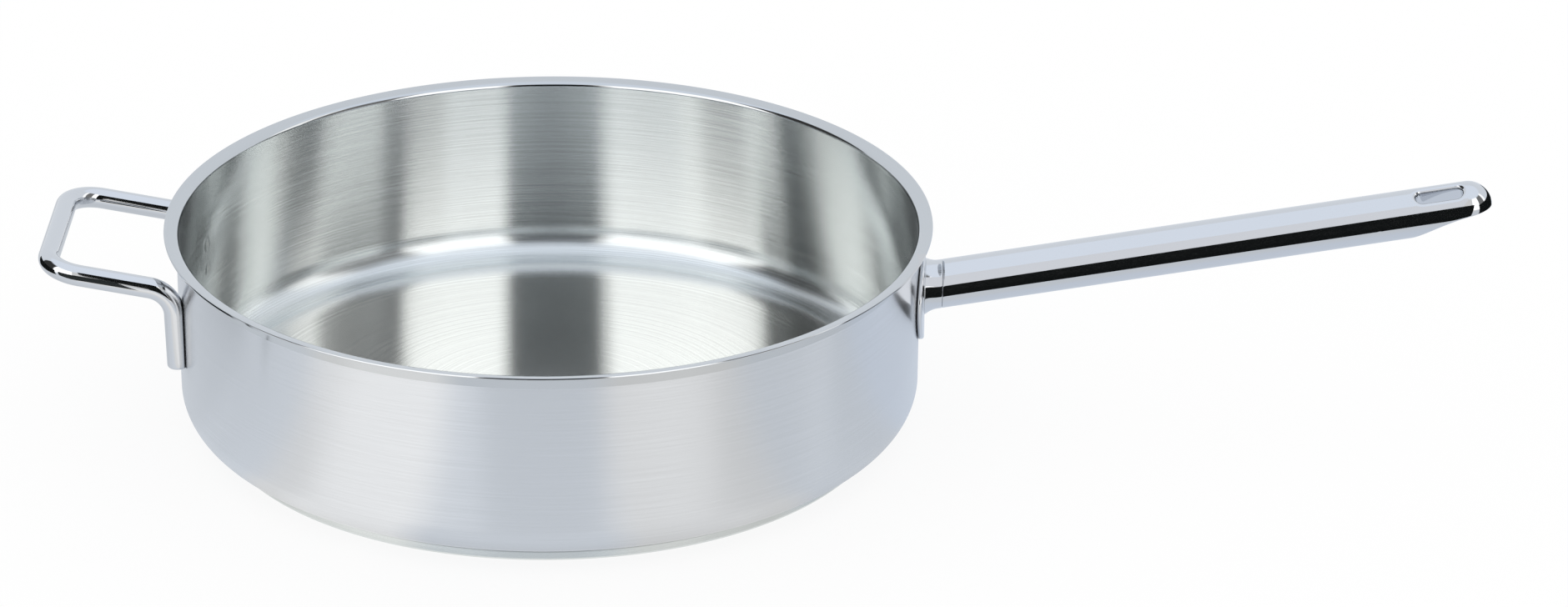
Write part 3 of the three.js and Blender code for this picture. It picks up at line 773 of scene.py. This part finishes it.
def floor_material():
    """White card: bright to the camera and in reflections, with a little shading of its own for shadows."""
    material = bpy.data.materials.new("floor_card")
    material.use_nodes = True
    nodes, links = material.node_tree.nodes, material.node_tree.links
    nodes.remove(nodes["Principled BSDF"])
    card = nodes.new("ShaderNodeBsdfDiffuse")
    card.inputs["Color"].default_value = (FLOOR_GREY, FLOOR_GREY, FLOOR_GREY, 1)
    glow = nodes.new("ShaderNodeEmission")
    glow.inputs["Color"].default_value = (1, 1, 1, 1)
    glow.inputs["Strength"].default_value = FLOOR_GLOW
    blend = nodes.new("ShaderNodeMixShader")
    blend.inputs["Fac"].default_value = FLOOR_SHADOW
    links.new(glow.outputs["Emission"], blend.inputs[1])
    links.new(card.outputs["BSDF"], blend.inputs[2])
    path = nodes.new("ShaderNodeLightPath")
    mirrored = nodes.new("ShaderNodeMath")
    mirrored.operation = "MAXIMUM"
    links.new(path.outputs["Is Glossy Ray"], mirrored.inputs[0])
    links.new(path.outputs["Is Transmission Ray"], mirrored.inputs[1])
    seen = nodes.new("ShaderNodeMath")
    seen.operation = "MAXIMUM"
    links.new(path.outputs["Is Camera Ray"], seen.inputs[0])
    links.new(mirrored.outputs["Value"], seen.inputs[1])
    choose = nodes.new("ShaderNodeMixShader")
    links.new(seen.outputs["Value"], choose.inputs["Fac"])
    links.new(card.outputs["BSDF"], choose.inputs[1])
    links.new(blend.outputs["Shader"], choose.inputs[2])
    links.new(choose.outputs["Shader"], nodes["Material Output"].inputs["Surface"])
    return material


half_floor = FLOOR_SIZE * MM / 2
floor_mesh = bpy.data.meshes.new("floor")
floor_mesh.from_pydata(
    [(-half_floor, -half_floor, 0), (half_floor, -half_floor, 0), (half_floor, half_floor, 0),
     (-half_floor, half_floor, 0)], [], [(0, 1, 2, 3)])
floor_mesh.materials.append(floor_material())
floor = bpy.data.objects.new("floor", floor_mesh)
bpy.context.collection.objects.link(floor)


def card(name, points, colour, strength, faces=((0, 1, 2, 3),)):
    """A card that only reflections see: its points in millimetres, how bright it is, and its faces."""
    material = bpy.data.materials.new(name)
    material.use_nodes = True
    nodes, links = material.node_tree.nodes, material.node_tree.links
    nodes.remove(nodes["Principled BSDF"])
    glow = nodes.new("ShaderNodeEmission")
    glow.inputs["Color"].default_value = (*colour, 1)
    glow.inputs["Strength"].default_value = strength
    links.new(glow.outputs["Emission"], nodes["Material Output"].inputs["Surface"])
    mesh = bpy.data.meshes.new(name)
    mesh.from_pydata((np.array(points) * MM).tolist(), [], faces)
    mesh.materials.append(material)
    made = bpy.data.objects.new(name, mesh)
    bpy.context.collection.objects.link(made)
    made.visible_camera = False
    made.visible_diffuse = False
    made.visible_shadow = False
    made.visible_transmission = False
    return made


def azimuth_ramp(tree, place, panels, edge):
    """A colour by azimuth about +Z: atan2(x, -y), counted from the front towards the right, in degrees.

    Each panel gives where it begins, and how bright and of what tint it is. Panels blend over the edge's
    width.
    """
    nodes, links = tree.nodes, tree.links
    split = nodes.new("ShaderNodeSeparateXYZ")
    links.new(place, split.inputs["Vector"])
    towards = nodes.new("ShaderNodeMath")
    towards.operation = "MULTIPLY"
    towards.inputs[1].default_value = -1
    links.new(split.outputs["Y"], towards.inputs[0])
    azimuth = nodes.new("ShaderNodeMath")
    azimuth.operation = "ARCTAN2"
    links.new(split.outputs["X"], azimuth.inputs[0])
    links.new(towards.outputs["Value"], azimuth.inputs[1])
    share = nodes.new("ShaderNodeMapRange")
    share.inputs["From Min"].default_value = -np.pi
    share.inputs["From Max"].default_value = np.pi
    links.new(azimuth.outputs["Value"], share.inputs["Value"])
    ramp = nodes.new("ShaderNodeValToRGB")
    stops = ramp.color_ramp.elements
    glows = [(*(bright * np.array(tint)), 1) for _, bright, tint in panels]
    stops[0].color = glows[0]
    stops[1].color = glows[-1]
    for (begin, _, _), before, after in zip(panels[1:], glows[:-1], glows[1:]):
        stops.new((begin - edge / 2 + 180) / 360).color = before
        stops.new((begin + edge / 2 + 180) / 360).color = after
    links.new(share.outputs["Result"], ramp.inputs["Fac"])
    return ramp.outputs["Color"], split


NEUTRAL = (1.0, 1.0, 0.99)
COOL = (0.95, 1.0, 1.06)
BLUISH = (0.92, 1.0, 1.12)
BLACK = (0.007, 0.008, 0.008)
TUBE_GREY = (0.80, 0.82, 0.86)
card("flag_before_bowl", [(-165, -600, 60), (185, -600, 60), (185, -600, 900), (-165, -600, 900)], BLACK, 1)
card("flag_before_handle", [(146, -16, 46.7), (349, -16, 82.5), (353, -16, 97.7), (146, -16, 58.8)], BLACK, 1)
card("card_before_handle", [(139, -30, 60), (345, -30, 99), (345, -30, 130), (139, -30, 94)], TUBE_GREY, 1)
card("flag_beside_tip", [(425, -70, 30), (425, 220, 30), (425, 220, 100), (425, -70, 122)], BLACK, 1)
card("flag_before_helper", [(-270, -97, 38), (-160, -97, 38), (-160, -97, 92), (-270, -97, 92)], BLACK, 4)
card("flag_beside_helper", [(-255, -70, 40), (-255, 30, 40), (-255, 30, 88), (-255, -70, 88)], BLACK, 1)

# The table round the pan is a ring-shaped card of its own, in the soft greys that the outer wall mirrors.
TABLE_REACH = 1500.0
TABLE_TUCK = 12.0  # how far the ring goes in under the bowl
TABLE_LIFT = 0.4  # above the floor
TABLE_COLUMNS = 72
TABLE_SHADE = 0.9  # at the foot, brightening to the next distance from the wall
TABLE_SHADE_REACH = 4.0
TABLE_PANELS = (
    (-180, 0.70, COOL), (-80, 0.76, COOL), (-66, 0.80, COOL), (-56, 0.86, NEUTRAL), (-46, 0.97, NEUTRAL),
    (-21, 0.75, COOL), (15, 0.79, NEUTRAL), (24, 0.82, NEUTRAL), (39, 0.77, NEUTRAL), (48, 0.72, COOL),
    (70, 0.70, COOL), (82, 0.72, BLUISH),
)
TABLE_EDGE = 7.0  # degrees
ring_turn = np.linspace(0, 2 * np.pi, TABLE_COLUMNS, endpoint=False)
ring_section = np.array([(WALL_RADIUS - TABLE_TUCK, TABLE_LIFT), (TABLE_REACH, TABLE_LIFT)])
ring_points = turned(ring_section, ring_turn).reshape(-1, 3)
ring_index = np.arange(2 * TABLE_COLUMNS).reshape(2, -1)
ring_next = np.roll(ring_index, -1, axis=1)
ring_faces = np.stack([ring_index[0], ring_index[1], ring_next[1], ring_next[0]], axis=1)
table_ring = card("table_ring", ring_points, NEUTRAL, 1, ring_faces.tolist())
ring_tree = table_ring.data.materials[0].node_tree
ring_place = ring_tree.nodes.new("ShaderNodeTexCoord")
ring_colour, _ = azimuth_ramp(ring_tree, ring_place.outputs["Object"], TABLE_PANELS, TABLE_EDGE)
ring_tree.links.new(ring_colour, ring_tree.nodes["Emission"].inputs["Color"])
ring_away = ring_tree.nodes.new("ShaderNodeVectorMath")
ring_away.operation = "LENGTH"
ring_tree.links.new(ring_place.outputs["Object"], ring_away.inputs[0])
ring_shade = ring_tree.nodes.new("ShaderNodeMapRange")
ring_shade.inputs["From Min"].default_value = CAPSULE_RADIUS * MM
ring_shade.inputs["From Max"].default_value = (WALL_RADIUS + TABLE_SHADE_REACH) * MM
ring_shade.inputs["To Min"].default_value = TABLE_SHADE
ring_tree.links.new(ring_away.outputs["Value"], ring_shade.inputs["Value"])
ring_tree.links.new(ring_shade.outputs["Result"], ring_tree.nodes["Emission"].inputs["Strength"])

# Light. Soft panels stand all round the pan up to a height, with an overhead panel above them. The camera and
# matt surfaces get plain white, and reflections show the panels.
PANELS = (
    (-180, 0.82, COOL), (-112, 0.04, NEUTRAL), (-71, 1.6, NEUTRAL), (-17, 0.75, NEUTRAL), (18, 1.6, NEUTRAL),
    (52, 0.2, NEUTRAL), (84, 1.3, NEUTRAL), (98, 0.82, COOL),
)
PANEL_EDGE = 2.5  # degrees
OVERHEAD_FROM = 50.0  # degrees up, where the overhead panel begins
OVERHEAD_EDGE = 4.0  # degrees to both sides
OVERHEAD = (0.85, 0.915, 1.01)
world = bpy.data.worlds.new("studio")
bpy.context.scene.world = world
world.use_nodes = True
sky, links = world.node_tree.nodes, world.node_tree.links
background = sky["Background"]
direction = sky.new("ShaderNodeTexCoord")
panel_colour, split = azimuth_ramp(world.node_tree, direction.outputs["Generated"], PANELS, PANEL_EDGE)
rise = sky.new("ShaderNodeMapRange")
rise.interpolation_type = "SMOOTHSTEP"
rise.inputs["From Min"].default_value = np.sin(np.radians(OVERHEAD_FROM - OVERHEAD_EDGE))
rise.inputs["From Max"].default_value = np.sin(np.radians(OVERHEAD_FROM + OVERHEAD_EDGE))
links.new(split.outputs["Z"], rise.inputs["Value"])
overhead = sky.new("ShaderNodeMix")
overhead.data_type = "RGBA"
overhead.inputs["B"].default_value = (*OVERHEAD, 1)
links.new(rise.outputs["Result"], overhead.inputs["Factor"])
links.new(panel_colour, overhead.inputs["A"])
path = sky.new("ShaderNodeLightPath")
reflected = sky.new("ShaderNodeMix")
reflected.data_type = "RGBA"
reflected.inputs["A"].default_value = (1, 1, 1, 1)
links.new(path.outputs["Is Glossy Ray"], reflected.inputs["Factor"])
links.new(overhead.outputs["Result"], reflected.inputs["B"])
links.new(reflected.outputs["Result"], background.inputs["Color"])
background.inputs["Strength"].default_value = 1

# Camera. A long lens two metres away and above, a little to the handle's side, as in the photograph.
CAMERA_PLACE = (92.8, -1846.9, 871.6)
CAMERA_YAW = 0.106  # degrees to the left of +Y
CAMERA_PITCH = 24.074  # degrees down
CAMERA_ROLL = 0.625  # degrees
CAMERA_LENS = 121.55
SENSOR_WIDTH = 36.0
FAR_CLIP = 100.0  # metres
yaw, pitch, roll = np.radians([CAMERA_YAW, CAMERA_PITCH, CAMERA_ROLL])
forward = np.array([-np.sin(yaw) * np.cos(pitch), np.cos(yaw) * np.cos(pitch), -np.sin(pitch)])
level = np.cross(forward, (0, 0, 1))
level /= np.linalg.norm(level)
above = np.cross(level, forward)
right = level * np.cos(roll) + above * np.sin(roll)
up = above * np.cos(roll) - level * np.sin(roll)
camera_data = bpy.data.cameras.new("camera")
camera_data.sensor_fit = "HORIZONTAL"
camera_data.sensor_width = SENSOR_WIDTH
camera_data.lens = CAMERA_LENS
camera_data.clip_end = FAR_CLIP
camera = bpy.data.objects.new("camera", camera_data)
pose = np.eye(4)
pose[:3, :3] = np.stack([right, up, -forward], axis=1)
pose[:3, 3] = np.array(CAMERA_PLACE) * MM
camera.matrix_world = Matrix(pose.tolist())
bpy.context.collection.objects.link(camera)
bpy.context.scene.camera = camera
bpy.context.scene.view_settings.view_transform = "Standard"
